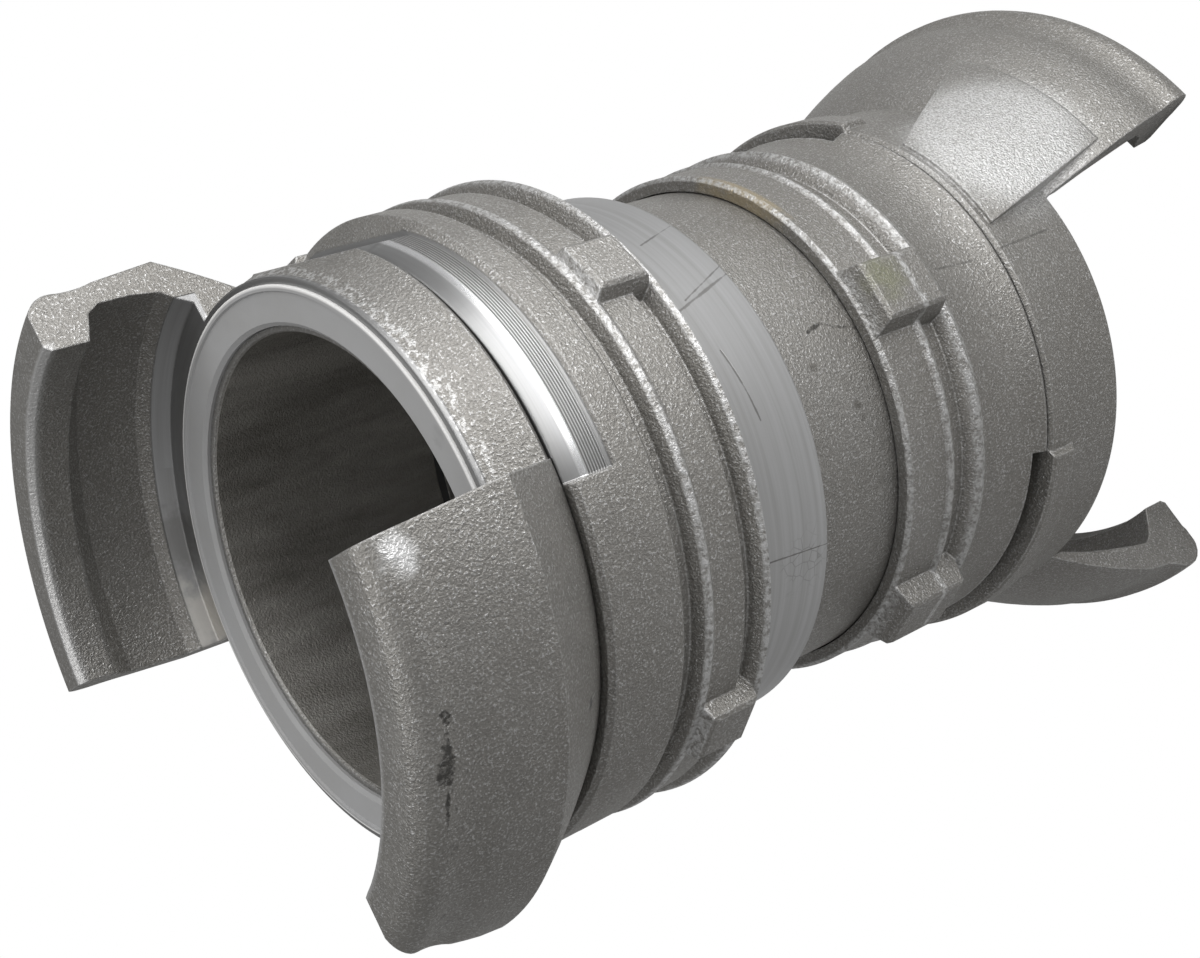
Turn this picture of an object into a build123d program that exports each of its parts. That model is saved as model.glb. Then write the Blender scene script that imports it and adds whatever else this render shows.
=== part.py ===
"""Double-ended quarter turn fire hose coupling, nominal bore 100 mm.

Two hooked half couplings are screwed together tail to tail. Each half carries
a face seal and a lugged locking ring that turns on a thread behind the collar.
The part stands on the two hook tips of its lower half: +Z is the coupling
axis, the origin is on the axis at the level of those tips. All lengths are in
millimetres and all angles in degrees.
"""

import os
from math import cos, radians, sin

from build123d import *

# ---- driving dimensions -------------------------------------------------
BORE_R = 50.0            # waterway
FACE_GAP = 177.0         # sealing face to sealing face
UPPER_REACH = 34.5       # upper hooks, beyond their sealing face
LOWER_REACH = 48.0       # lower hooks, beyond their sealing face

UPPER_FACE_Z = LOWER_REACH + FACE_GAP
LOWER_FACE_Z = LOWER_REACH

SEAL_R_IN = 51.5
SEAL_R_OUT = 60.0
SEAL_DEPTH = 6.0
SEAL_PROUD = 0.7

UPPER_COLLAR_R_FRONT = 63.1
UPPER_COLLAR_R_BACK = 65.4
UPPER_COLLAR_DEPTH = 14.0
UPPER_TUBE_R = 60.2      # machined barrel that carries the ring thread
UPPER_TAIL_Z = -80.0     # end of the socket, from the upper face
SOCKET_R = 56.5          # 4 inch pipe thread, shown as a plain cylinder
SOCKET_DEPTH = 18.0
GASKET = 2.0             # flat gasket at the bottom of the socket

LOWER_COLLAR_R_FRONT = 62.9
LOWER_COLLAR_R_BACK = 63.6
LOWER_COLLAR_DEPTH = 26.5
LOWER_NECK_R = 56.6
RAMP_R = 65.3            # raised ramp on the rear rim of the lower collar
RAMP_FRONT = -17.5
RAMP_ARC = 90.0
RAMP_START = -183.0      # first ramp, in the lower half's own angle

HOOK_ARC = 82.0
UPPER_HOOK_CENTRE = -4.0
LOWER_HOOK_CENTRE = -96.0
HOOK_INNER_R = 71.0
LIP_TIP_R = 61.0

RING_CLEARANCE = 0.3
UPPER_RING_FRONT = -14.35
UPPER_RING_BACK = -54.2
UPPER_LUG_START = 65.0
UPPER_LUG_R = 71.8
UPPER_RELIEF_START = 33.0
LOWER_RING_FRONT = -26.9
LOWER_RING_BACK = -72.0
LOWER_LUG_START = -47.0
LOWER_LUG_R = 65.4
LOWER_RELIEF_START = -183.0


# ---- helpers ------------------------------------------------------------
def spun(points, arc=360.0, start=0.0):
    """Solid of revolution about Z from a closed (radius, z) outline."""
    line = Polyline(*[(r, z) for r, z in points], close=True)
    face = Plane.XZ * make_face(line)
    return Rot(0, 0, start) * revolve(face, Axis.Z, arc)


def spun_curve(edges, arc=360.0, start=0.0):
    """Solid of revolution about Z from a closed set of outline edges."""
    face = Plane.XZ * make_face(edges)
    return Rot(0, 0, start) * revolve(face, Axis.Z, arc)


def annulus(r_in, r_out, z_low, z_high, arc=360.0, start=0.0):
    return spun([(r_in, z_low), (r_out, z_low), (r_out, z_high), (r_in, z_high)],
                arc, start)


def turned_pair(shape):
    """The shape and its copy half a turn round."""
    return [shape, Rot(0, 0, 180) * shape]


# ---- hooks --------------------------------------------------------------
def hook_outline(outer, tip_z, tip_r):
    """Closed section of one hook before its inside is cleared."""
    curve = Spline(*outer)
    rest = Polyline(outer[-1], (tip_r + 1.2, tip_z), (tip_r, tip_z - 1.5),
                    (tip_r, outer[0][1]), outer[0])
    return [curve] + list(rest.edges())


def hook_clearance(inner_r, lip_back, lip_slope, top):
    """Space inside a hook: from the sealing face up to the sloping lip."""
    room = spun([(0, 0), (66.0, 0), (68.6, 0.7), (inner_r - 0.7, 2.6),
                 (inner_r, 7.0), (inner_r, top), (0, top)])
    above = Pos(0, 0, lip_back) * Rot(lip_slope, 0, 0) * Pos(0, 0, 60) * Box(
        300, 300, 120)
    return room - above


def hook(outer, reach, lip_back, lip_slope, inner_r, tip_r):
    """One hook centred on the +X direction."""
    body = spun_curve(hook_outline(outer, reach, tip_r), HOOK_ARC,
                      -HOOK_ARC / 2)
    body -= hook_clearance(inner_r, lip_back, lip_slope, reach + 5)
    return body


def upper_hook():
    outer = [(65.0, -13.9), (69.6, -10.4), (73.4, -5.6), (76.4, -0.8),
             (77.3, 3.0), (76.7, 9.5), (76.0, 16.0), (75.1, 22.5),
             (75.0, 25.0), (75.6, 28.6), (74.9, 31.8), (72.0, 33.9),
             (67.0, 34.5)]
    return hook(outer, UPPER_REACH, 21.7, 4.4, HOOK_INNER_R, LIP_TIP_R)


def lower_hook():
    outer = [(64.4, -25.5), (67.0, -17.5), (70.6, -10.5), (75.0, -2.8),
             (77.7, 5.0), (78.5, 14.0), (79.0, 24.0), (79.3, 33.0),
             (79.8, 36.5), (81.3, 40.0), (81.0, 43.5), (78.6, 46.6),
             (73.0, 48.0)]
    return hook(outer, LOWER_REACH, 36.0, 4.4, HOOK_INNER_R + 0.4,
                LIP_TIP_R + 2.0)


# ---- half couplings -----------------------------------------------------
def seal():
    top = SEAL_PROUD
    return spun([(SEAL_R_IN, -SEAL_DEPTH), (SEAL_R_OUT, -SEAL_DEPTH),
                 (SEAL_R_OUT, top - 0.2), (SEAL_R_OUT - 0.3, top),
                 (SEAL_R_OUT - 1.2, top), (SEAL_R_OUT - 1.5, top - 0.5),
                 (SEAL_R_IN + 0.9, top - 0.5), (SEAL_R_IN, top - 1.3)])


def tail_gasket():
    """Flat gasket between the two halves, in the upper half's frame."""
    low = UPPER_TAIL_Z + SOCKET_DEPTH
    return annulus(BORE_R, SOCKET_R, low, low + GASKET)


def upper_half():
    """Upper half in its own frame: sealing face at z = 0, tail downwards."""
    tail = UPPER_TAIL_Z
    floor = tail + SOCKET_DEPTH + GASKET
    shell = spun([
        (BORE_R, floor), (BORE_R, -SEAL_DEPTH),
        (SEAL_R_OUT, -SEAL_DEPTH), (SEAL_R_OUT, 0),
        (UPPER_COLLAR_R_FRONT - 0.8, 0), (UPPER_COLLAR_R_FRONT, -0.8),
        (UPPER_COLLAR_R_BACK, -UPPER_COLLAR_DEPTH + 0.8),
        (UPPER_COLLAR_R_BACK - 0.8, -UPPER_COLLAR_DEPTH),
        (UPPER_TUBE_R, -UPPER_COLLAR_DEPTH), (UPPER_TUBE_R, tail + 0.8),
        (UPPER_TUBE_R - 0.8, tail), (SOCKET_R + 1.0, tail),
        (SOCKET_R, tail + 1.0), (SOCKET_R, floor)])
    hooks = Rot(0, 0, UPPER_HOOK_CENTRE) * upper_hook()
    for piece in turned_pair(hooks):
        shell += piece
    return shell


def lower_half():
    """Lower half in its own frame: sealing face at z = 0, tail downwards."""
    tail = UPPER_TAIL_Z + FACE_GAP
    depth = -LOWER_COLLAR_DEPTH
    spigot_end = -tail - SOCKET_DEPTH
    shell = spun([
        (BORE_R, spigot_end), (BORE_R, -SEAL_DEPTH), (SEAL_R_OUT, -SEAL_DEPTH),
        (SEAL_R_OUT, 0), (LOWER_COLLAR_R_FRONT - 0.8, 0),
        (LOWER_COLLAR_R_FRONT, -0.8), (LOWER_COLLAR_R_BACK, depth + 0.8),
        (LOWER_COLLAR_R_BACK - 0.8, depth), (LOWER_NECK_R, depth),
        (LOWER_NECK_R, -tail), (SOCKET_R, -tail), (SOCKET_R, spigot_end)])
    hooks = Rot(0, 0, LOWER_HOOK_CENTRE) * lower_hook()
    ramp = spun([(62.0, depth), (RAMP_R - 0.8, depth), (RAMP_R, depth + 0.9),
                 (RAMP_R, RAMP_FRONT - 1.2), (RAMP_R - 0.8, RAMP_FRONT),
                 (62.0, RAMP_FRONT + 1.5)], RAMP_ARC, RAMP_START)
    for piece in turned_pair(hooks) + turned_pair(ramp):
        shell += piece
    return shell


# ---- locking rings ------------------------------------------------------
def lugs(r_in, r_out, z_low, z_high, start):
    """Four spanner lugs round a ring."""
    block = Pos((r_in + r_out) / 2, 0, (z_low + z_high) / 2) * Box(
        r_out - r_in, 14.5, z_high - z_low)
    outer = block.faces().sort_by(Axis.X)[-1]
    block = chamfer(outer.edges(), 1.2)
    return [Rot(0, 0, start + 90 * i) * block for i in range(4)]


def upper_ring():
    """Upper locking ring, in the upper half's frame."""
    r_in = UPPER_TUBE_R + RING_CLEARANCE
    front, back = UPPER_RING_FRONT, UPPER_RING_BACK
    ring = spun([
        (r_in, back), (68.6, back), (69.5, back + 0.8), (69.3, back + 1.8),
        (67.8, back + 2.6), (65.8, back + 3.1), (65.8, back + 4.4),
        (67.6, back + 5.0), (68.4, back + 5.6), (68.3, -40.6), (68.9, -39.6),
        (69.2, -38.4), (68.6, -37.6), (65.4, -37.0), (65.2, -34.6),
        (67.0, -33.8), (67.9, -32.6), (67.9, front - 1.2), (66.9, front),
        (r_in, front)])
    for lug in lugs(64.0, UPPER_LUG_R, back + 0.1, -38.2, UPPER_LUG_START):
        ring += lug
    relief = annulus(67.3, 80, -23.6, front + 1, 90, UPPER_RELIEF_START)
    for i in range(7):
        z = -17.6 - 0.7 * i
        relief += spun([(67.0, z), (68.5, z + 0.6), (68.5, z - 0.6)], 90,
                       UPPER_RELIEF_START)
    lead = UPPER_RELIEF_START - 10.0
    cone_axis = Pos(4.5 * cos(radians(lead)), 4.5 * sin(radians(lead)), 0)
    bevel = annulus(55, 80, -40, front + 1, 90, UPPER_RELIEF_START)
    bevel -= cone_axis * spun([(0, -60), (63.9 + 0.4 * 45.65, -60),
                               (63.9 - 0.4 * 2.0, front + 2.0),
                               (0, front + 2.0)])
    for piece in turned_pair(relief) + turned_pair(bevel):
        ring -= piece
    return ring


def lower_ring():
    """Lower locking ring, in the lower half's frame."""
    r_in = LOWER_NECK_R + RING_CLEARANCE
    front, back = LOWER_RING_FRONT, LOWER_RING_BACK
    ring = spun([
        (r_in, back), (60.8, back), (61.6, back + 0.8), (61.5, back + 2.2),
        (60.6, back + 3.2), (60.4, -59.5), (61.2, -58.6), (61.0, -57.4),
        (58.6, -56.4), (58.4, -51.6), (61.6, -50.4), (62.3, -49.4),
        (61.8, -48.0), (61.6, -46.5), (61.7, front - 0.8),
        (61.0, front), (r_in, front)])
    for lug in lugs(57.5, LOWER_LUG_R, back + 0.1, -49.0, LOWER_LUG_START):
        ring += lug
    relief = spun([(r_in - 1, front + 1), (70, front + 1), (70, -29.5),
                   (61.2, -31.2), (59.4, -32.2), (58.3, -31.6),
                   (r_in - 1, -31.6)], RAMP_ARC, LOWER_RELIEF_START)
    for piece in turned_pair(relief):
        ring -= piece
    return ring


# ---- assembly -----------------------------------------------------------
def raised(shape):
    return Pos(0, 0, UPPER_FACE_Z) * shape


def lowered(shape):
    """Place a lower-half shape: turned over, face down."""
    return Pos(0, 0, LOWER_FACE_Z) * Rot(180, 0, 0) * shape


PARTS = {
    "upper_half": raised(upper_half()),
    "upper_ring": raised(upper_ring()),
    "upper_seal": raised(seal()),
    "tail_gasket": raised(tail_gasket()),
    "lower_half": lowered(lower_half()),
    "lower_ring": lowered(lower_ring()),
    "lower_seal": lowered(seal()),
}

os.makedirs("parts", exist_ok=True)
for name, shape in PARTS.items():
    export_step(shape, f"parts/{name}.step")
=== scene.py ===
"""Looks and fine forms of the double-ended quarter turn hose coupling."""
import math

import bmesh
import bpy
from mathutils import Matrix, Vector

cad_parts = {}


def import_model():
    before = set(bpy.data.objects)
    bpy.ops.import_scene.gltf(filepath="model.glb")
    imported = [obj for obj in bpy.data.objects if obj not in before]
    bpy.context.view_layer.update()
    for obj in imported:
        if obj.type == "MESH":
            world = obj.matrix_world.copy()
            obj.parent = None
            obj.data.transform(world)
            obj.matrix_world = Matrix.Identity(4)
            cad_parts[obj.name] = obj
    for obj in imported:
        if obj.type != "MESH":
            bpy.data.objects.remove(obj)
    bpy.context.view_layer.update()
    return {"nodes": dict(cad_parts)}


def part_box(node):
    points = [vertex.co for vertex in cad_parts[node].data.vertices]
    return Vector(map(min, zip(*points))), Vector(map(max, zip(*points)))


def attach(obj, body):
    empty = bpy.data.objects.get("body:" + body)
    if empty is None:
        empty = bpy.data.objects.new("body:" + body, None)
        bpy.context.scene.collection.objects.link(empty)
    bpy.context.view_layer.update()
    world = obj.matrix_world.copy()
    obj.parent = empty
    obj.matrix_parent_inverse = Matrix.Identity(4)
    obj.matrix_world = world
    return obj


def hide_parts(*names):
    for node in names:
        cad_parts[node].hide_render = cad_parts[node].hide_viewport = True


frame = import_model()
nodes = frame["nodes"]

UPPER_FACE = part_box("upper_seal")[1][2]     # height of the upper seal's front
LOWER_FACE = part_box("lower_seal")[0][2]     # height of the lower seal's front
BARREL_EDGE = UPPER_FACE - 0.0512           # the bare barrel is below this
MM = 0.001
WELD = 1e-5              # points nearer than this are one, in mm
STEP_ANGLE = 2           # degrees between the rows of a turned form
SHARP_ANGLE = 28         # edges that turn more than this stay sharp


# ---- solids, in millimetres ---------------------------------------------
def turn(degrees, axis="Z"):
    return Matrix.Rotation(math.radians(degrees), 4, axis)


def shift(x, y, z):
    return Matrix.Translation((x, y, z))


class Form:
    """A closed mesh that can be joined to others and cut by them."""

    def __init__(self, mesh):
        self.mesh = mesh

    @classmethod
    def of(cls, verts, faces):
        mesh = bpy.data.meshes.new("form")
        mesh.from_pydata(verts, [], faces)
        bm = bmesh.new()
        bm.from_mesh(mesh)
        bmesh.ops.remove_doubles(bm, verts=bm.verts, dist=WELD)
        bmesh.ops.dissolve_degenerate(bm, edges=bm.edges, dist=WELD)
        bmesh.ops.recalc_face_normals(bm, faces=bm.faces)
        bm.to_mesh(mesh)
        bm.free()
        return cls(mesh)

    def moved(self, matrix):
        mesh = self.mesh.copy()
        mesh.transform(matrix)
        return Form(mesh)

    def pair(self):
        """The form and its copy half a turn round."""
        return self, self.moved(turn(180))

    def _with(self, other, operation):
        objs = [bpy.data.objects.new("work", f.mesh) for f in (self, other)]
        for o in objs:
            bpy.context.scene.collection.objects.link(o)
        tool = objs[0].modifiers.new("join", "BOOLEAN")
        tool.operation = operation
        tool.object = objs[1]
        tool.solver = "EXACT"
        done = objs[0].evaluated_get(bpy.context.evaluated_depsgraph_get())
        mesh = bpy.data.meshes.new_from_object(done)
        for o in objs:
            bpy.data.objects.remove(o)
        return Form(mesh)

    def __add__(self, other):
        return self._with(other, "UNION")

    def __sub__(self, other):
        return self._with(other, "DIFFERENCE")


def spun(points, arc=360.0, start=0.0):
    """Solid of revolution about Z of a closed outline in (radius, z)."""
    closed = arc >= 360
    steps = round(arc / STEP_ANGLE)
    rows = steps if closed else steps + 1
    m = len(points)
    verts = []
    for i in range(rows):
        a = math.radians(start + arc * i / steps)
        verts += [(r * math.cos(a), r * math.sin(a), z) for r, z in points]
    faces = []
    for i in range(steps):
        j = (i + 1) % rows
        for k in range(m):
            n = (k + 1) % m
            faces.append((i * m + k, i * m + n, j * m + n, j * m + k))
    if not closed:
        faces += [tuple(range(m)), tuple(range((rows - 1) * m, rows * m))]
    return Form.of(verts, faces)


def annulus(r_in, r_out, low, high, arc=360.0, start=0.0):
    return spun([(r_in, low), (r_out, low), (r_out, high), (r_in, high)],
                arc, start)


def block(x0, x1, y0, y1, z0, z1):
    verts = [(x, y, z) for x in (x0, x1) for y in (y0, y1) for z in (z0, z1)]
    return Form.of(verts, [(0, 1, 3, 2), (4, 6, 7, 5), (0, 4, 5, 1),
                           (2, 3, 7, 6), (0, 2, 6, 4), (1, 5, 7, 3)])


def prism(points, half):
    """Outline in (x, z), drawn out to both sides along Y."""
    m = len(points)
    verts = [(x, y, z) for y in (-half, half) for x, z in points]
    faces = [tuple(range(m)), tuple(range(m, 2 * m))]
    faces += [(k, (k + 1) % m, m + (k + 1) % m, m + k) for k in range(m)]
    return Form.of(verts, faces)


def arc(a, through, b, steps=8):
    """Points of the circular arc from a through a middle point to b."""
    ax, ay = a
    bx, by = through
    cx, cy = b
    d = 2 * (ax * (by - cy) + bx * (cy - ay) + cx * (ay - by))
    ux = ((ax * ax + ay * ay) * (by - cy) + (bx * bx + by * by) * (cy - ay)
          + (cx * cx + cy * cy) * (ay - by)) / d
    uy = ((ax * ax + ay * ay) * (cx - bx) + (bx * bx + by * by) * (ax - cx)
          + (cx * cx + cy * cy) * (bx - ax)) / d
    r = math.hypot(ax - ux, ay - uy)
    t = [math.atan2(y - uy, x - ux) for x, y in (a, through, b)]
    sweep = (t[2] - t[0]) % (2 * math.pi)
    if (t[1] - t[0]) % (2 * math.pi) > sweep:
        sweep -= 2 * math.pi
    return [(ux + r * math.cos(t[0] + sweep * i / steps),
             uy + r * math.sin(t[0] + sweep * i / steps))
            for i in range(steps + 1)]


def beyond(angle, lean, side):
    """Everything past a leaning end face; side is +1 or -1 round the axis."""
    far = 200
    wall = block(-150, 150, *sorted((0, side * far)), -far, far)
    return wall.moved(turn(angle) @ turn(lean, "X"))


# ---- hooks --------------------------------------------------------------
# Heights are from the seal's front, positive towards the mating part.
BORE_R = 50.0
SEAT_R, SEAT_FLOOR = 60.0, -6.7              # groove that holds the seal
PROUD = 0.7              # the metal face lies this far behind the seal
FACE_R_OUT = 61.4
UPPER_TIP_R, LOWER_TIP_R = 63.4, 63.2        # inner edges of the lips
LIP_RISE = 1.2           # slope of the lip round the coupling, in degrees
SPARE_ARC = 12           # turned too far at each end, before the end cuts


def hook_face(back, crest, waist, groove, nose, corner, reach, tip_r):
    """Section of one hook before its inside is cleared.

    back is the root and shoulder behind the widest point, crest. The outside
    then dips at groove, between waist and nose, and rounds over to the front.
    """
    root, shoulder = back
    front, bevel = 8.5, (1.0, 1.2)       # width of the front and its bevel
    outline = arc(root, shoulder, crest)
    outline += arc(waist, groove, nose)
    outline += arc(nose, corner, (tip_r + front, reach))[1:]
    outline += [(tip_r + bevel[0], reach), (tip_r, reach - bevel[1]),
                (tip_r, 0), (FACE_R_OUT, 0), (FACE_R_OUT, root[1])]
    return outline


def hook_room(wall, lip_tip, tip_r):
    """Space inside a hook, from the metal face along the wall to the lip."""
    root_r, root_z = wall[-1]
    room = spun([(0, -PROUD)] + wall + [(root_r, lip_tip + 20),
                                        (0, lip_tip + 20)])
    fall = (lip_tip - root_z) / (root_r - tip_r)
    lip = spun([(0, lip_tip + fall * tip_r),
                (100, lip_tip - fall * (100 - tip_r)), (100, 150), (0, 150)])
    return room - lip.moved(turn(LIP_RISE, "X"))


def hook(face, room, ends, leans):
    """One hook between its two end faces, given as angles round the axis."""
    body = spun(face, ends[1] - ends[0] + 2 * SPARE_ARC, ends[0] - SPARE_ARC)
    body -= room.moved(turn((ends[0] + ends[1]) / 2))
    body -= beyond(ends[0], leans[0], side=-1)
    return body - beyond(ends[1], leans[1], side=1)


def upper_hook():
    """Hook of the near half, with a lip over its inside."""
    face = hook_face(
        back=[(65.4, -14.0), (71.6, -5.6)], crest=(77.7, 4.0),
        waist=(76.2, 18.5), groove=(75.4, 23.5), nose=(75.6, 28.0),
        corner=(74.2, 32.8), reach=34.5, tip_r=UPPER_TIP_R)
    room = hook_room(
        wall=[(66.2, -PROUD), (68.0, 2.5), (70.4, 5.5), (71.3, 12.0),
              (71.2, 19.4), (68.8, 23.4)], lip_tip=25.6, tip_r=UPPER_TIP_R)
    return hook(face, room, ends=(-42.5, 37.0), leans=(2.0, 3.6))


def buttress():
    """Leaning pad from the collar's rear rim to one end of a lower hook."""
    low, high = -88.7, -56.3
    pad = spun([(61.0, -24.0), (64.3, -24.0), (73.4, 15.2), (71.0, 13.8),
                (64.5, 2.0), (62.3, -2.0), (61.0, -2.4)],
               high - low + 30, low - 18)
    pad -= beyond(low, lean=23.5, side=-1)
    pad -= beyond(high, lean=10.5, side=1)
    deep = 2.0
    dimple = spun([(0, -deep), (2.0, -deep), (2.0, deep), (0, deep)]).moved(
        turn(low) @ shift(67.0, 0, 0) @ turn(90, "X"))
    return pad - dimple


def lower_hook():
    """Longer hook on a sloping arm, with its buttress."""
    face = hook_face(
        back=[(63.0, -1.9), (71.2, 11.4)], crest=(78.0, 27.4),
        waist=(78.4, 31.2), groove=(79.3, 35.0), nose=(81.4, 38.8),
        corner=(81.0, 43.6), reach=46.9, tip_r=LOWER_TIP_R)
    room = hook_room(
        wall=[(FACE_R_OUT, -PROUD), (63.7, 3.8), (66.4, 10.9), (68.4, 18.4),
              (70.4, 26.5), (71.2, 31.2), (69.0, 35.2)],
        lip_tip=39.5, tip_r=LOWER_TIP_R)
    arm = hook(face, room, ends=(-142.5, -54.3), leans=(0.0, 7.6))
    return arm + buttress()


# ---- half couplings -----------------------------------------------------
def flat():
    """Flat milled across the upper collar and the front of its ring."""
    side = prism([(62.3, 5), (62.3, -24.0), (67.0, -26.6), (80, -33.8),
                  (80, 5)], half=60)
    return side.moved(turn(112))


def mouth(end):
    """Outline from the far end of the bore to the outer side of the seal."""
    return [(BORE_R, end), (BORE_R, -2.4), (50.4, -2.0), (51.4, -2.0),
            (51.4, SEAT_FLOOR), (SEAT_R, SEAT_FLOOR), (SEAT_R, -PROUD)]


def upper_form():
    """Casting of the near half: collar, barrel, socket and two hooks."""
    tail, floor, socket_r = -80.7, -60.7, 56.5
    shell = spun(mouth(floor) + [
        (FACE_R_OUT, -PROUD), (61.6, -2.4), (65.4, -13.0), (64.8, -14.0),
        (60.2, -14.0), (60.2, -50.0), (61.0, -51.0), (61.0, tail + 0.8),
        (60.2, tail), (socket_r + 1.0, tail), (socket_r, tail + 1.0),
        (socket_r, floor)])
    for cut in flat().pair():
        shell -= cut
    first, second = upper_hook().pair()
    first -= beyond(-46.9, lean=-32.0, side=-1)     # bevelled lip corner
    return shell + first + second


RAMP_START, RAMP_SPAN = -183.0, 90.0         # in the lower half's own angle


def ramp():
    """Raised ramp on the collar's rear rim, bevelled at both ends."""
    body = spun([(62.0, -26.5), (64.4, -26.5), (65.0, -25.8), (65.0, -19.5),
                 (63.4, -18.3), (62.0, -17.3)], RAMP_SPAN, RAMP_START)
    for angle, side in ((RAMP_START, -1), (RAMP_START + RAMP_SPAN, 1)):
        slope = block(0, 50, -20, 20, -30, 30)
        body -= slope.moved(turn(angle) @ shift(61.8, 0, -26.5)
                            @ turn(side * 64))
    return body


def lower_form():
    """Casting of the far half: collar with ramps, neck, spigot and hooks."""
    shoulder, end, neck_r, spigot_r = -97.7, -115.7, 56.6, 56.5
    shell = spun(mouth(end) + [
        (62.6, -PROUD), (63.4, -1.5), (63.4, -25.7), (62.6, -26.5),
        (neck_r, -26.5), (neck_r, shoulder), (spigot_r, shoulder),
        (spigot_r, end)])
    for piece in (*lower_hook().pair(), *ramp().pair()):
        shell += piece
    return shell


# ---- locking rings ------------------------------------------------------
def lug(root, top, low, high, width):
    """Spanner lug on the +X side, with drafted sides and a broken edge."""
    edge, draft = 0.7, math.tan(math.radians(14))
    middle = (low + high) / 2
    verts = []
    for x, broken in ((root, 0.0), (top - edge, 0.0), (top, edge)):
        inset = draft * (x - root) + broken
        w, h = width / 2 - inset, (high - low) / 2 - inset
        verts += [(x, -w, middle - h), (x, w, middle - h),
                  (x, w, middle + h), (x, -w, middle + h)]
    faces = [(0, 3, 2, 1), (8, 9, 10, 11)]
    for k in (0, 4):
        faces += [(k + i, k + (i + 1) % 4, k + 4 + (i + 1) % 4, k + 4 + i)
                  for i in range(4)]
    return Form.of(verts, faces)


RELIEF = (100.0, 33.0)   # the upper ring's relief: its arc and its start


def upper_ring_form():
    """Near locking ring: two ridges, four lugs, turned and milled reliefs."""
    r_in, front, back = 60.6, -14.35, -54.9
    ring = spun([
        (r_in + 0.7, back), (69.0, back), (69.9, back + 0.7),
        (69.5, back + 1.9), (66.0, back + 3.2), (66.0, back + 4.7),
        (68.2, back + 6.2), (68.2, -40.6), (68.9, -39.4), (68.6, -37.8),
        (65.4, -36.8), (65.2, -34.6), (67.8, -33.0), (68.2, -32.4),
        (68.2, front - 1.2), (67.2, front), (r_in, front), (r_in, -49.0),
        (r_in + 0.7, -50.0)])
    for angle in (64.7, 160.5, 244.7, 340.5):
        ring += lug(root=64.5, top=71.8, low=back + 1.0, high=-38.4,
                    width=15.5).moved(turn(angle))
    kept = spun([(0, -60), (91.1, -50), (65.5, -24.4), (65.5, -18.6),
                 (63.6, front), (63.0, front + 1.4), (0, front + 1.4)])
    relief = annulus(55, 80, -40, front + 1, *RELIEF)
    relief -= kept.moved(turn(23) @ shift(2.0, 0, 0))
    for cut in (*relief.pair(), *flat().pair()):
        ring -= cut
    return ring


def lower_ring_form():
    """Far locking ring: two ridges, four lugs, relieved over the ramps."""
    r_in, front, back = 56.9, -26.9, -71.5
    ring = spun([
        (r_in, back), (59.4, back), (60.2, back + 0.8), (60.2, -59.4),
        (61.0, -58.4), (60.6, -57.2), (58.5, -56.2), (58.3, -51.8),
        (61.0, -50.4), (61.9, -49.2), (61.3, -47.8), (60.8, -46.2),
        (60.8, -37.0), (61.6, -31.5), (63.2, -28.0), (62.6, front),
        (r_in, front)])
    for angle in (-46.3, 25.7, 133.7, -154.3):
        ring += lug(root=57.6, top=65.4, low=back, high=-50.0,
                    width=17.5).moved(turn(angle))
    relief = spun([(r_in - 1, front + 1), (70, front + 1), (70, -29.5),
                   (61.2, -31.2), (59.4, -32.2), (r_in - 1, -31.6)],
                  RAMP_SPAN, RAMP_START)
    for cut in relief.pair():
        ring -= cut
    return ring


# from a half's own frame to the coupling's: the lower half is turned over
RAISED = shift(0, 0, UPPER_FACE) @ Matrix.Scale(MM, 4)
LOWERED = shift(0, 0, LOWER_FACE) @ turn(180, "X") @ Matrix.Scale(MM, 4)


def fitted(node, body, form, place):
    """A finely formed piece that stands for a CAD node."""
    mesh = form.mesh
    mesh.transform(place)
    mesh.shade_smooth()
    mesh.set_sharp_from_angle(angle=math.radians(SHARP_ANGLE))
    mesh.name = node + "_form"
    obj = bpy.data.objects.new(node + "_form", mesh)
    bpy.context.scene.collection.objects.link(obj)
    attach(obj, body)
    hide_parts(node)
    return obj


pieces = {
    "upper_half": fitted("upper_half", "halves", upper_form(), RAISED),
    "upper_ring": fitted("upper_ring", "upper_ring", upper_ring_form(),
                         RAISED),
    "lower_half": fitted("lower_half", "halves", lower_form(), LOWERED),
    "lower_ring": fitted("lower_ring", "lower_ring", lower_ring_form(),
                         LOWERED),
}
for name in ("upper_seal", "lower_seal", "tail_gasket"):
    pieces[name] = nodes[name]


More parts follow.
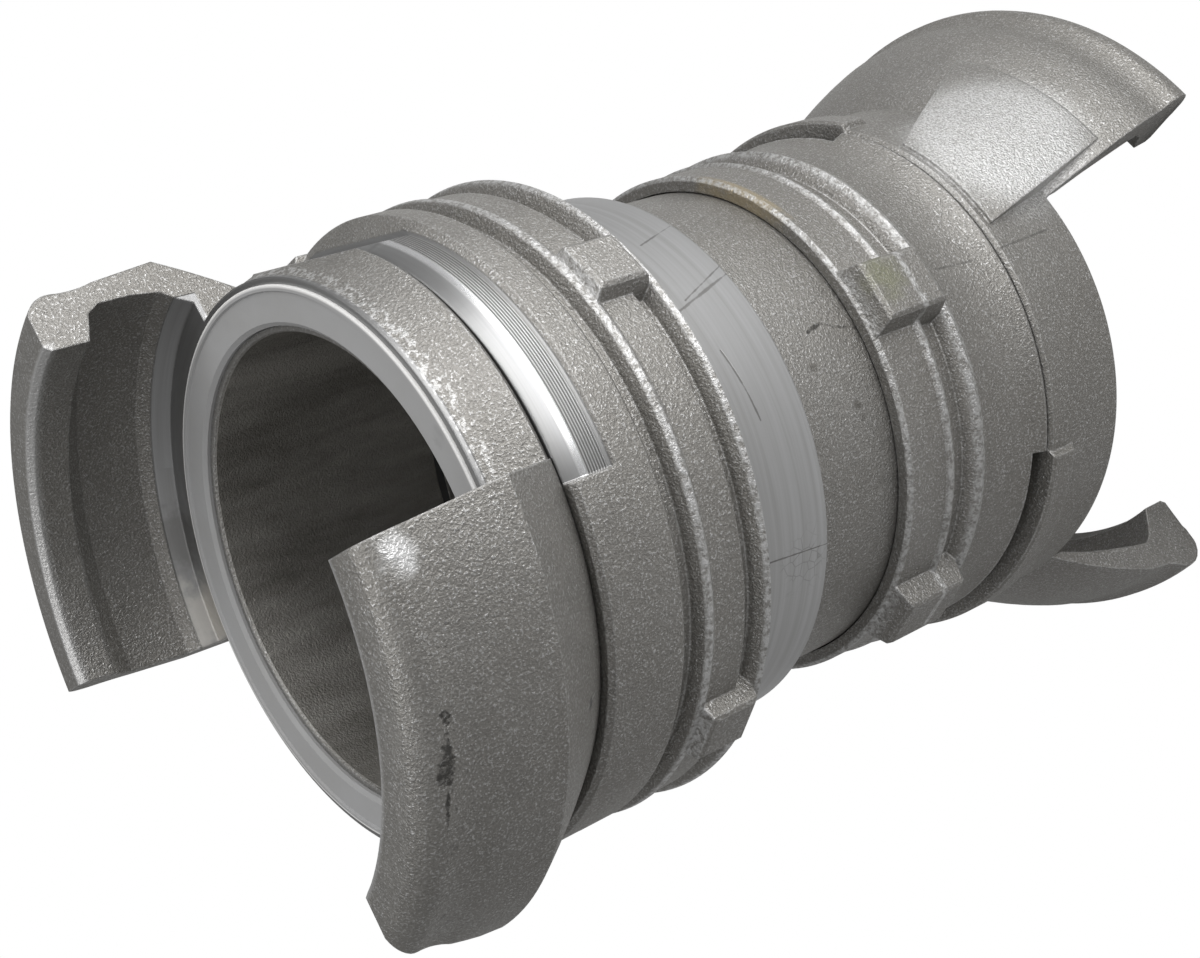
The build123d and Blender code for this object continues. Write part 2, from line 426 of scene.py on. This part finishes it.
# ---- node helpers -------------------------------------------------------
class Mat:
    """A small builder for one procedural material in object space.

    Lengths are in metres. A mark is placed by x, y and its height over face.
    """

    def __init__(self, name, face=0.0):
        self.face = Vector((0, 0, face))
        self.m = bpy.data.materials.new(name)
        self.m.use_nodes = True
        self.t = self.m.node_tree
        self.t.nodes.clear()
        out = self.t.nodes.new("ShaderNodeOutputMaterial")
        self.p = self.t.nodes.new("ShaderNodeBsdfPrincipled")
        self.t.links.new(self.p.outputs[0], out.inputs[0])
        self.co = self.t.nodes.new("ShaderNodeTexCoord").outputs["Object"]
        xyz = self.t.nodes.new("ShaderNodeSeparateXYZ")
        self.t.links.new(self.co, xyz.inputs[0])
        self.x, self.y, self.z = xyz.outputs[0], xyz.outputs[1], xyz.outputs[2]
        self.r = self.math("SQRT", self.math(
            "ADD", self.math("MULTIPLY", self.x, self.x),
            self.math("MULTIPLY", self.y, self.y)))
        self.angle = self.math("MULTIPLY", self.math(
            "ARCTAN2", self.y, self.x), 180 / math.pi)
        # squeezed round the axis, so that its noises run in turned lines
        self.turned = self.vector(self.r, self.z,
                                  self.math("MULTIPLY", self.angle, 2e-5))
        self.wobble = self.noise(260, 3, 0.6)     # makes marks ragged

    def put(self, socket, value):
        """Link an output to the socket, or set a constant on it."""
        if isinstance(value, bpy.types.NodeSocket):
            self.t.links.new(value, socket)
        else:
            socket.default_value = value

    def math(self, op, a, b=0.0, c=0.0, clamp=False):
        n = self.t.nodes.new("ShaderNodeMath")
        n.operation = op
        n.use_clamp = clamp
        for i, v in enumerate((a, b, c)):
            self.put(n.inputs[i], v)
        return n.outputs[0]

    def times(self, *masks):
        out = masks[0]
        for m in masks[1:]:
            out = self.math("MULTIPLY", out, m)
        return out

    def most(self, *masks):
        out = masks[0]
        for m in masks[1:]:
            out = self.math("MAXIMUM", out, m)
        return out

    def inverse(self, mask):
        return self.math("SUBTRACT", 1.0, mask, clamp=True)

    def vector(self, x, y, z):
        n = self.t.nodes.new("ShaderNodeCombineXYZ")
        for i, v in enumerate((x, y, z)):
            self.put(n.inputs[i], v)
        return n.outputs[0]

    def vmath(self, op, a, b=None, scale=None):
        """Vector maths; the value output where the result is a number."""
        n = self.t.nodes.new("ShaderNodeVectorMath")
        n.operation = op
        self.put(n.inputs[0], a)
        if b is not None:
            self.put(n.inputs[1], b)
        if scale is not None:
            self.put(n.inputs[3], scale)
        return n.outputs[1 if op in ("LENGTH", "DISTANCE", "DOT_PRODUCT")
                         else 0]

    def noise(self, scale, detail=3.0, rough=0.5, vec=None):
        n = self.t.nodes.new("ShaderNodeTexNoise")
        n.inputs["Scale"].default_value = scale
        n.inputs["Detail"].default_value = detail
        n.inputs["Roughness"].default_value = rough
        self.t.links.new(vec or self.co, n.inputs["Vector"])
        return n.outputs["Fac"]

    def cracks(self, scale):
        """Distance to the nearest line of a net of cracks."""
        n = self.t.nodes.new("ShaderNodeTexVoronoi")
        n.feature = "DISTANCE_TO_EDGE"
        n.inputs["Scale"].default_value = scale
        self.t.links.new(self.co, n.inputs["Vector"])
        return n.outputs["Distance"]

    def step(self, v, at, soft):
        """0 below at, 1 above it, smooth over soft to both sides."""
        n = self.t.nodes.new("ShaderNodeMapRange")
        n.interpolation_type = "SMOOTHSTEP"
        self.put(n.inputs["Value"], v)
        n.inputs["From Min"].default_value = at - soft
        n.inputs["From Max"].default_value = at + soft
        return n.outputs[0]

    def band(self, v, low, high, soft):
        """1 between low and high, 0 outside, with soft edges."""
        return self.math("SUBTRACT", self.step(v, low, soft),
                         self.step(v, high, soft), clamp=True)

    def ramp(self, v, low, high, to_low=0.0, to_high=1.0):
        """Straight change of v from low..high to to_low..to_high."""
        n = self.t.nodes.new("ShaderNodeMapRange")
        self.put(n.inputs["Value"], v)
        n.inputs["From Min"].default_value = low
        n.inputs["From Max"].default_value = high
        n.inputs["To Min"].default_value = to_low
        n.inputs["To Max"].default_value = to_high
        return n.outputs[0]

    def near(self, place, size, soft=0.5, ragged=0.5):
        """Ragged patch round a place, of about the given radius."""
        d = self.vmath("DISTANCE", self.co, Vector(place) + self.face)
        d = self.math("MULTIPLY_ADD", self.math(
            "SUBTRACT", self.wobble, 0.5), size * ragged * 4, d)
        return self.inverse(self.step(d, size, size * soft))

    def line(self, a, b, width, ragged=1.0):
        """Thin line between two places; width is half its width."""
        a, b = Vector(a) + self.face, Vector(b) + self.face
        along = b - a
        rel = self.vmath("SUBTRACT", self.co, a)
        t = self.math("DIVIDE", self.vmath("DOT_PRODUCT", rel, along),
                      along.length_squared, clamp=True)
        off = self.vmath("SUBTRACT", rel, self.vmath(
            "SCALE", along, scale=t))
        d = self.math("MULTIPLY_ADD", self.math(
            "SUBTRACT", self.wobble, 0.5), width * ragged * 3,
            self.vmath("LENGTH", off))
        return self.inverse(self.step(d, width, width * 0.7))

    def mix(self, f, a, b):
        """Colour a where f is 0, b where it is 1."""
        n = self.t.nodes.new("ShaderNodeMix")
        n.data_type = "RGBA"
        self.put(n.inputs[0], f)
        self.put(n.inputs[6], a)
        self.put(n.inputs[7], b)
        return n.outputs[2]

    def fmix(self, f, a, b):
        """Number a where f is 0, b where it is 1."""
        n = self.t.nodes.new("ShaderNodeMix")
        n.data_type = "FLOAT"
        self.put(n.inputs[0], f)
        self.put(n.inputs[2], a)
        self.put(n.inputs[3], b)
        return n.outputs[0]

    def bump(self, height_mm, normal=None):
        """Normal of a surface raised by height_mm."""
        n = self.t.nodes.new("ShaderNodeBump")
        n.inputs["Strength"].default_value = 1.0
        n.inputs["Distance"].default_value = MM
        self.put(n.inputs["Height"], height_mm)
        if normal is not None:
            self.t.links.new(normal, n.inputs["Normal"])
        return n.outputs[0]

    def soft_edges(self, radius):
        """Normal with rounded edges, and a mask of where it bends."""
        n = self.t.nodes.new("ShaderNodeBevel")
        n.samples = 6
        n.inputs["Radius"].default_value = radius
        plain = self.t.nodes.new("ShaderNodeNewGeometry").outputs["Normal"]
        bend = self.math("SUBTRACT", 1.0, self.vmath(
            "DOT_PRODUCT", n.outputs[0], plain), clamp=True)
        return n.outputs[0], self.step(bend, 0.045, 0.04)


def grey(v, warm=0.0):
    """Grey of brightness v, redder where warm is over 0."""
    return (v * (1 + warm), v, v * (1 - 1.8 * warm), 1.0)


# ---- metal --------------------------------------------------------------
class Metal(Mat):
    """Cast aluminium; other layers are laid over its skin one by one."""

    def __init__(self, name, tone, face):
        super().__init__(name, face)
        broad = self.noise(22, 4, 0.6)
        fine = self.noise(150, 3, 0.6)
        self.grain = self.noise(2000, 2, 0.6)     # half a millimetre
        self.lumps = self.noise(900, 2, 0.55)     # about a millimetre
        self.normal, self.edges = self.soft_edges(0.0007)
        self.col = self.mix(self.ramp(broad, 0.32, 0.68),
                            grey(tone * 0.84, 0.045), grey(tone * 1.1, 0.03))
        self.lay(self.ramp(fine, 0.35, 0.72, 0.0, 0.25),
                 grey(tone * 0.7, 0.03))
        self.lay(self.ramp(self.grain, 0.5, 0.3, 0.0, 0.5),
                 grey(tone * 0.6, 0.03))
        # peaks of the grain painted pale: cast crystals that carry painted
        # sparkle glints
        crystal_glints = self.step(self.grain, 0.62, 0.07)
        self.lay(self.times(crystal_glints, 0.7), grey(min(tone * 2.3, 0.85)))
        self.rough = self.fmix(crystal_glints, self.ramp(
            fine, 0.3, 0.7, 0.5, 0.42), 0.26)
        self.height = self.math("MULTIPLY_ADD", self.lumps, 0.17,
                                self.math("MULTIPLY", self.grain, 0.24))
        self.metal = self.ramp(broad, 0.3, 0.7, 0.66, 0.76)

    def lay(self, mask, colour, rough=None):
        """Cover the part under the mask with a colour and a roughness."""
        self.col = self.mix(mask, self.col, colour)
        if rough is not None:
            self.rough = self.fmix(mask, self.rough, rough)

    def machine(self, mask, tone, rough, lines=0.002):
        """Turned surface: fine lines round the axis instead of cast grain.

        lines is about the depth of the tool marks, in millimetres.
        """
        coarse = self.noise(1500, 2, 0.6, self.turned)
        streak = self.noise(500, 3, 0.7, self.turned)
        colour = self.mix(self.ramp(streak, 0.3, 0.7), grey(tone * 0.86, 0.005),
                          grey(tone * 1.1, -0.005))
        self.lay(mask, colour, rough)
        self.height = self.fmix(mask, self.height, self.math(
            "MULTIPLY", coarse, lines * 2))
        self.metal = self.fmix(mask, self.metal, 0.9)

    def dent(self, mask, depth):
        """Sink the part under the mask by depth, in millimetres."""
        self.height = self.math("MULTIPLY_ADD", mask, -depth, self.height)

    def finish(self):
        """Link the layers to the shader and hand over the material."""
        self.put(self.p.inputs["Base Color"], self.col)
        self.put(self.p.inputs["Roughness"], self.rough)
        self.put(self.p.inputs["Metallic"], self.metal)
        self.put(self.p.inputs["Normal"], self.bump(self.height, self.normal))
        return self.m


def rub_and_highlight_edges(m, amount):
    """Edges are painted bright: partly rubbed by handling, partly a painted
    highlight where they catch the light.
    """
    patches = m.ramp(m.lumps, 0.36, 0.6, to_low=0.1)
    m.lay(m.times(m.edges, patches, amount), grey(0.78), rough=0.3)


def rub_tips(m, height, reach, amount, tone):
    """The inner edges of the hooks' tips, past reach, are rubbed bright."""
    tip = m.times(m.band(m.r, 0.0600, 0.0650, soft=0.0006),
                  m.step(height, reach, soft=0.0012))
    m.lay(m.times(tip, amount), grey(tone), rough=0.32)


def paint_crest_highlights(m, crest, radius, soft, most, tone):
    """The ridges' crests, outside the radius, get a painted highlight in
    patches.
    """
    patches = m.ramp(m.lumps, 0.38, 0.6, to_low=0.1, to_high=most)
    m.lay(m.times(crest, m.step(m.r, radius, soft), patches), grey(tone),
          rough=0.34)


def waterway(m, height):
    """Mask of the bore behind the seal's seat."""
    return m.times(m.inverse(m.step(m.r, 0.0505, soft=0.0002)),
                   m.inverse(m.step(height, -0.0026, soft=0.0002)))


def upper_half():
    m = Metal("cast_upper", tone=0.27, face=UPPER_FACE)
    height = m.math("SUBTRACT", m.z, UPPER_FACE)
    rub_and_highlight_edges(m, 0.45)
    rub_tips(m, height, reach=0.0325, amount=0.55, tone=0.68)
    # floor and wall turned inside the hooks, and the metal face
    floor = m.times(m.inverse(m.step(m.r, 0.0684, soft=0.0002)),
                    m.band(height, -0.0019, 0.0033, soft=0.0003))
    m.machine(floor, tone=0.32, rough=0.4)
    stain = m.times(floor, m.near((-0.0648, -0.0177, -0.0003), size=0.007))
    m.lay(m.times(stain, 0.6), grey(0.16, 0.02))
    bare = m.times(floor, m.near((-0.0565, -0.0341, -0.0011), size=0.008))
    m.lay(m.times(bare, 0.6), grey(0.6, 0.04))
    # turned barrel behind the ring, with scratches and a crazed patch
    barrel = m.times(m.inverse(m.step(m.z, BARREL_EDGE, soft=0.0005)),
                     m.step(m.r, 0.0545, soft=0.0005))
    m.machine(barrel, tone=0.43, rough=0.3, lines=0.0022)
    thin = 0.00016
    for a, b, width in (
            ((0.0337, 0.0508, -0.0630), (0.0290, 0.0536, -0.0815), 1.6 * thin),
            ((0.0321, 0.0518, -0.0658), (0.0262, 0.0551, -0.0833), 1.1 * thin),
            ((0.0422, 0.0441, -0.0661), (0.0480, 0.0379, -0.0673), 1.3 * thin),
            ((0.0480, 0.0379, -0.0673), (0.0521, 0.0317, -0.0679), 1.3 * thin),
            ((0.0163, 0.0588, -0.0681), (0.0130, 0.0598, -0.0793), 1.2 * thin),
            ((0.0609, 0.0032, -0.0824), (0.0608, 0.0050, -0.0613), 0.9 * thin)):
        scratch = m.line(a, b, width)
        m.lay(m.times(scratch, 0.75), grey(0.13, 0.03), rough=0.5)
        m.dent(scratch, depth=0.03)
    craze = m.times(m.near((0.0609, 0.0018, -0.0735), size=0.006),
                    m.inverse(m.step(m.cracks(420), 0.04, soft=0.03)))
    m.lay(m.times(craze, 0.5), grey(0.2, 0.02))
    # waterway, left rough and streaked from its core
    bore = waterway(m, height)
    streaks = m.noise(60, 4, 0.65, m.vector(
        m.x, m.y, m.math("MULTIPLY", m.z, 0.25)))
    m.lay(bore, m.mix(m.ramp(streaks, 0.35, 0.65), grey(0.20, 0.05),
                      grey(0.42, 0.035)), rough=0.55)
    m.dent(m.times(bore, streaks), depth=-0.5)
    # casting scar, rubbed corner, nick and spot on the near right hook
    scar = m.most(
        m.line((0.0742, 0.0140, 0.0275), (0.0750, 0.0088, 0.0280),
               width=0.0007, ragged=3),
        m.line((0.0750, 0.0088, 0.0280), (0.0755, 0.0020, 0.0283),
               width=0.0011, ragged=3),
        m.line((0.0756, 0.0010, 0.0287), (0.0752, -0.0080, 0.0289),
               width=0.0003, ragged=3))
    scar = m.times(scar, m.ramp(m.lumps, 0.34, 0.52, to_low=0.35))
    m.lay(m.times(scar, 0.85), grey(0.05, 0.04), rough=0.7)
    m.dent(scar, depth=0.3)
    rubbed = m.near((0.0638, 0.0406, 0.0280), size=0.0032, soft=0.7)
    m.lay(m.times(rubbed, 0.8), grey(0.85), rough=0.28)
    nick = m.line((0.0661, 0.0004, -0.0143), (0.0776, 0.0, 0.0048),
                  width=0.00022)
    m.lay(m.times(nick, 0.7), grey(0.62), rough=0.35)
    spot = m.near((0.0700, 0.0002, -0.0073), size=0.0011)
    m.lay(m.times(spot, 0.8), grey(0.06))
    # pits along the outside of the near right hook, behind its nose
    pits = m.times(m.band(height, 0.0225, 0.0290, soft=0.0012),
                   m.band(m.angle, -30, 40, soft=5),
                   m.step(m.noise(420, 2, 0.6), 0.68, soft=0.05))
    m.lay(m.times(pits, 0.5), grey(0.08, 0.04))
    m.dent(pits, depth=0.08)
    # glints along the edge of the collar's front
    glint = m.times(m.band(height, -0.0046, -0.0014, soft=0.0003),
                    m.band(m.r, 0.0608, 0.0630, soft=0.0003),
                    m.step(m.lumps, 0.54, soft=0.05))
    m.lay(m.times(glint, 0.5), grey(0.75), rough=0.3)
    return m.finish()


def upper_ring():
    m = Metal("cast_upper_ring", tone=0.28, face=UPPER_FACE)
    height = m.math("SUBTRACT", m.z, UPPER_FACE)
    rub_and_highlight_edges(m, 0.5)
    # the two reliefs are turned, with a band of fine grooves in each; the
    # masks end a little inside the reliefs
    around = m.most(m.band(m.angle, 33.2, 132.8, soft=0.2),
                    m.band(m.angle, -146.8, -47.2, soft=0.2))
    front = m.times(m.step(height, -0.0246, soft=0.0002), around,
                    m.inverse(m.step(m.r, 0.0681, soft=0.0001)))
    m.machine(front, tone=0.33, rough=0.36, lines=0.0015)
    pitch = 0.00066
    grooves = m.math("SINE", m.math("MULTIPLY", height, 2 * math.pi / pitch))
    flutes = m.times(front, m.band(height, -0.0237, -0.0188, soft=0.0002))
    m.dent(m.times(flutes, grooves), depth=-0.07)
    # painted highlight on the grooves' crests and painted shade in their
    # troughs
    m.lay(m.times(flutes, m.step(grooves, 0.35, soft=0.3), 0.5), grey(0.72),
          rough=0.28)
    m.lay(m.times(flutes, m.inverse(m.step(grooves, -0.35, soft=0.3)), 0.6),
          grey(0.14, 0.02))
    # painted highlight along the turned bevel
    bevel = m.times(front, m.band(height, -0.0189, -0.0176, soft=0.0003))
    m.lay(m.times(bevel, 0.8), grey(0.8, -0.005), rough=0.24)
    crest = m.most(m.band(height, -0.0402, -0.0380, soft=0.0004),
                   m.band(height, -0.0549, -0.0530, soft=0.0004))
    paint_crest_highlights(m, crest, radius=0.0684, soft=0.0003, most=0.8, tone=0.66)
    return m.finish()


def lower_half():
    m = Metal("cast_lower", tone=0.26, face=LOWER_FACE)
    height = m.math("SUBTRACT", LOWER_FACE, m.z)
    rub_and_highlight_edges(m, 0.4)
    # seams, a crack and dark runs on the neck and the collar
    thin = 0.00022
    for a, b, width in (
            ((0.0572, -0.0010, 0.0938), (0.0569, 0.0, 0.0718), 1.0 * thin),
            ((0.0436, 0.0462, 0.0268), (0.0432, 0.0466, 0.0080), 1.3 * thin),
            ((0.0110, 0.0560, 0.0936), (0.0050, 0.0567, 0.0800), 1.2 * thin)):
        seam = m.line(a, b, width)
        m.lay(m.times(seam, 0.7), grey(0.12, 0.03), rough=0.6)
        m.dent(seam, depth=-0.05)
    bends = ((0.0402, 0.0402, 0.0845), (0.0396, 0.0409, 0.0800),
             (0.0408, 0.0397, 0.0765), (0.0420, 0.0384, 0.0715))
    crack = m.most(*[m.line(a, b, width=0.00034, ragged=1.6)
                     for a, b in zip(bends, bends[1:])])
    m.lay(m.times(crack, 0.85), grey(0.05, 0.04), rough=0.6)
    m.dent(crack, depth=0.12)
    runs = m.most(m.near((0.0452, 0.0346, 0.0874), size=0.0011),
                  m.near((0.0507, 0.0257, 0.0794), size=0.0009),
                  m.near((0.0520, 0.0231, 0.0790), size=0.0007))
    m.lay(m.times(runs, 0.6), grey(0.09, 0.08))
    # metal face, turned
    face = m.times(m.inverse(m.step(m.r, 0.0626, soft=0.0002)),
                   m.band(height, -0.0019, -0.0008, soft=0.0002))
    m.machine(face, tone=0.32, rough=0.4)
    rub_tips(m, height, reach=0.0475, amount=0.5, tone=0.66)
    m.lay(waterway(m, height), m.mix(
        m.ramp(m.noise(60, 4, 0.65), 0.35, 0.65), grey(0.10, 0.05),
        grey(0.26, 0.03)), rough=0.5)
    # pads beside the hooks, half a turn apart, painted pale in coarse patches:
    # coarse skin with a painted highlight
    middle = Vector((0.0240, 0.0650, 0.052))      # of one pad, over the floor
    for sign in (1.0, -1.0):
        here = m.vector(m.math("MULTIPLY", m.x, sign),
                        m.math("MULTIPLY", m.y, sign), m.z)
        pad = m.inverse(m.step(m.vmath("DISTANCE", here, middle), 0.021,
                               soft=0.006))
        m.lay(m.times(pad, m.ramp(m.grain, 0.35, 0.6, to_low=0.3,
                                  to_high=0.8)), grey(0.7), rough=0.4)
    return m.finish()


def lower_ring():
    m = Metal("cast_lower_ring", tone=0.26, face=LOWER_FACE)
    height = m.math("SUBTRACT", LOWER_FACE, m.z)
    rub_and_highlight_edges(m, 0.5)
    seam = m.line((0.0410, 0.0450, 0.0450), (0.0424, 0.0442, 0.0280),
                  width=0.00028)
    m.lay(m.times(seam, 0.7), grey(0.12, 0.03), rough=0.6)
    # greenish and brown traces of use
    green = m.most(m.near((0.0433, 0.0491, 0.0652), size=0.0045, soft=0.7),
                   m.near((0.0520, 0.0190, 0.0560), size=0.0022, soft=0.7))
    m.lay(m.times(green, 0.45), (0.20, 0.21, 0.10, 1.0))
    brown = m.times(m.near((0.0060, 0.0599, 0.0695), size=0.011, soft=0.6),
                    m.inverse(m.step(height, -0.0690, soft=0.0006)))
    m.lay(m.times(brown, 0.55), (0.42, 0.34, 0.20, 1.0))
    crest = m.most(m.band(height, -0.0505, -0.0476, soft=0.0005),
                   m.band(height, -0.0592, -0.0576, soft=0.0004),
                   m.inverse(m.step(height, -0.0705, soft=0.0005)))
    paint_crest_highlights(m, crest, radius=0.0594, soft=0.0004, most=0.75, tone=0.62)
    return m.finish()


def seal_rubber(name, tone, face=0.0, smudge=None):
    m = Mat(name, face)
    col = m.mix(m.ramp(m.noise(60, 3), 0.3, 0.7), grey(tone * 0.93, 0.004),
                grey(tone, -0.004))
    if smudge:
        col = m.mix(m.times(m.near(smudge, size=0.0022), 0.5), col,
                    grey(tone * 0.6))
    # the raised outer rim is painted much paler than the rest: a painted
    # highlight
    rim = m.step(m.r, 0.0594, soft=0.0002)
    col = m.mix(m.times(rim, 0.7), col, grey(min(1.0, tone * 2.4), 0.01))
    m.put(m.p.inputs["Base Color"], col)
    m.put(m.p.inputs["Roughness"], m.ramp(m.noise(300, 2), 0.3, 0.7, 0.5, 0.7))
    m.put(m.p.inputs["Normal"], m.bump(m.math(
        "MULTIPLY", m.noise(700, 2, 0.6), 0.02)))
    return m.m


def flat_gasket():
    m = Mat("gasket_black")
    m.put(m.p.inputs["Base Color"], m.mix(m.noise(200, 3), grey(0.02),
                                          grey(0.05)))
    m.put(m.p.inputs["Roughness"], m.ramp(m.noise(300, 2), 0.3, 0.7, 0.6, 0.8))
    return m.m


SEAL_TONE = 0.36
looks = {
    "upper_half": upper_half(),
    "upper_ring": upper_ring(),
    "upper_seal": seal_rubber("seal_upper", SEAL_TONE, UPPER_FACE,
                              smudge=(0.0361, 0.0434, 0.0016)),
    "lower_half": lower_half(),
    "lower_ring": lower_ring(),
    "lower_seal": seal_rubber("seal_lower", SEAL_TONE),
    "tail_gasket": flat_gasket(),
}
for name, mat in looks.items():
    obj = pieces[name]
    obj.data.materials.clear()
    obj.data.materials.append(mat)


# ---- floor and light ----------------------------------------------------
AMBIENT = 0.3            # light from all round; the camera itself sees 1


def stage():
    """Pale floor that lights like grey card and that the camera sees white."""
    bpy.ops.mesh.primitive_plane_add(size=8, location=(0, 0, 0))
    floor = bpy.context.object
    floor.name = "floor"
    mat = bpy.data.materials.new("pale_floor")
    mat.use_nodes = True
    t = mat.node_tree
    t.nodes.clear()
    out = t.nodes.new("ShaderNodeOutputMaterial")
    diff = t.nodes.new("ShaderNodeBsdfDiffuse")
    diff.inputs[0].default_value = (0.7, 0.7, 0.7, 1)
    white = t.nodes.new("ShaderNodeEmission")
    white.inputs[0].default_value = (1, 1, 1, 1)
    mix = t.nodes.new("ShaderNodeMixShader")
    lp = t.nodes.new("ShaderNodeLightPath")
    t.links.new(lp.outputs["Is Camera Ray"], mix.inputs[0])
    t.links.new(diff.outputs[0], mix.inputs[1])
    t.links.new(white.outputs[0], mix.inputs[2])
    t.links.new(mix.outputs[0], out.inputs[0])
    floor.data.materials.append(mat)


def world():
    """Even studio light from all round, white to the camera."""
    w = bpy.data.worlds.new("studio")
    bpy.context.scene.world = w
    w.use_nodes = True
    t = w.node_tree
    t.nodes.clear()
    out = t.nodes.new("ShaderNodeOutputWorld")
    bg = t.nodes.new("ShaderNodeBackground")
    bg.inputs[0].default_value = (1, 1, 1, 1)
    lp = t.nodes.new("ShaderNodeLightPath")
    strength = t.nodes.new("ShaderNodeMath")
    strength.operation = "MULTIPLY_ADD"
    t.links.new(lp.outputs["Is Camera Ray"], strength.inputs[0])
    strength.inputs[1].default_value = 1.0 - AMBIENT
    strength.inputs[2].default_value = AMBIENT
    t.links.new(strength.outputs[0], bg.inputs[1])
    t.links.new(bg.outputs[0], out.inputs[0])


def area(name, place, aim, size, power):
    """Rectangular lamp at a place, turned to what it lights."""
    data = bpy.data.lights.new(name, "AREA")
    data.shape = "RECTANGLE"
    data.size, data.size_y = size
    data.energy = power
    obj = bpy.data.objects.new(name, data)
    bpy.context.scene.collection.objects.link(obj)
    obj.location = place
    obj.rotation_euler = (Vector(aim) - Vector(place)).to_track_quat(
        "-Z", "Y").to_euler()


def camera():
    """The photo's view: close, from above the near end, and rolled."""
    data = bpy.data.cameras.new("camera")
    data.lens = 56.72
    data.sensor_width = 36
    data.clip_start = 0.01
    cam = bpy.data.objects.new("camera", data)
    bpy.context.scene.collection.objects.link(cam)
    place = Vector((0.28806, 0.18513, 0.40723))
    ahead = Vector((-0.67583, -0.43754, -0.59314)).normalized()
    right = Vector((0.65963, 0.0, -0.75159))
    up = right.cross(ahead).normalized()
    right = ahead.cross(up)
    m = Matrix((right, up, -ahead)).transposed().to_4x4()
    m.translation = place
    cam.matrix_world = m
    bpy.context.scene.camera = cam


stage()
world()
camera()
centre = (0, 0, 0.13)
area("key", place=(0.20, 0.60, 0.20), aim=(0.05, 0.10, 0.08),
     size=(0.6, 0.3), power=2.1)
area("top_front", place=(-0.12, 0.55, 0.66), aim=centre,
     size=(0.5, 0.5), power=2.1)
area("low_strip", place=(0.10, 0.42, 0.035), aim=(0.03, 0.05, 0.17),
     size=(0.5, 0.05), power=0.4)
area("overhead", place=(0.12, 0.05, 0.95), aim=centre,
     size=(0.5, 0.5), power=1.7)
area("fill", place=(0.8, -0.1, 0.75), aim=centre, size=(0.8, 0.8), power=0.3)
bpy.context.scene.view_settings.view_transform = "Standard"
